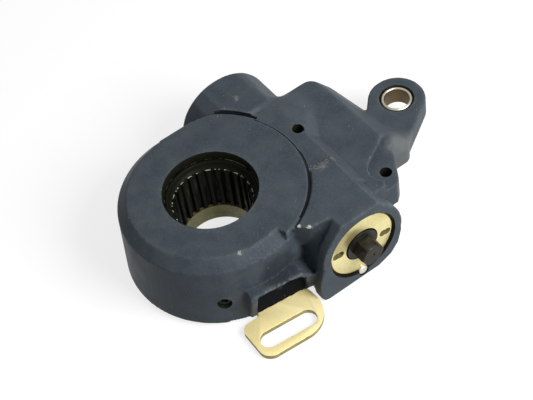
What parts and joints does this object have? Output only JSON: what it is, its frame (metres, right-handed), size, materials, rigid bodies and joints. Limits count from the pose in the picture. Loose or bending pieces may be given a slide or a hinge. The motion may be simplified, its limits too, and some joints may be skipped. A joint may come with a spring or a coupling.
{
  "type": "brake slack adjuster",
  "caption": "Automatic brake slack adjuster: cast arm with clevis eye, worm and splined worm wheel, clutch train, adjusting hex and slotted control arm.",
  "frame": {"origin": "on the camshaft spline's axis at the height of the worm's axis", "axes": "+X towards the clevis eye, -Y towards the adjusting hex and the control arm, +Z along the spline's axis out of the hub's open face"},
  "size_m": [0.1866, 0.1367, 0.05],
  "materials": {
    "casting_paint": "dark blue-grey paint on a ductile iron casting",
    "bush_steel": "turned steel",
    "dark_steel": "oiled dark steel",
    "black_steel": "black oxide",
    "bright_steel": "ground steel",
    "yellow_zinc": "yellow zinc plate",
    "bush_bronze": "sintered bronze",
    "seal_rubber": "matt"
  },
  "bodies": {
    "body": {"housing": "casting_paint", "arm_bush": "bush_steel", "upper_seal": "seal_rubber", "load_spring": "dark_steel", "rear_bush": "bush_bronze", "thrust_bearing": "bright_steel", "retainer_seal": "seal_rubber", "bearing_retainer": "yellow_zinc", "lock_pin": "bright_steel", "cover_gasket": "seal_rubber", "control_cover": "yellow_zinc", "cover_screws": "yellow_zinc", "grease_plug": "black_steel"},
    "wheel": {"worm_wheel": "dark_steel"},
    "worm": {"worm_shaft": "black_steel", "clutch_ring": "bright_steel"},
    "clutch": {"clutch_pinion": "bright_steel", "clutch_spring": "bright_steel"},
    "rack": {"control_rack": "bright_steel"},
    "control": {"control_disc": "yellow_zinc", "control_arm": "yellow_zinc", "control_rivets": "yellow_zinc", "lower_seal": "seal_rubber"}
  },
  "joints": [
    {"name": "wheel_turn", "type": "hinge", "parent": "body", "child": "wheel", "pos_m": [0, 0, 0], "axis": [0, 0, 1], "continuous": true},
    {"name": "worm_turn", "type": "hinge", "parent": "body", "child": "worm", "pos_m": [0.0465, 0, 0], "axis": [0, 1, 0], "continuous": true},
    {"name": "control_swing", "type": "hinge", "parent": "body", "child": "control", "pos_m": [0, 0, -0.02], "axis": [0, 0, 1], "range_deg": [-12, 0.5]},
    {"name": "rack_travel", "type": "slide", "parent": "body", "child": "rack", "axis": [1, 0, 0], "range_m": [-0.0064, 0.0003]},
    {"name": "clutch_turn", "type": "hinge", "parent": "body", "child": "clutch", "pos_m": [0.0465, -0.03, 0], "axis": [0, 1, 0], "range_deg": [-1.5, 32.2]}
  ],
  "couplings": [
    {"joint": "worm_turn", "follows": "wheel_turn", "ratio": -24},
    {"joint": "rack_travel", "follows": "control_swing", "m_per_rad": 0.03},
    {"joint": "clutch_turn", "follows": "control_swing", "ratio": -2.6667}
  ]
}
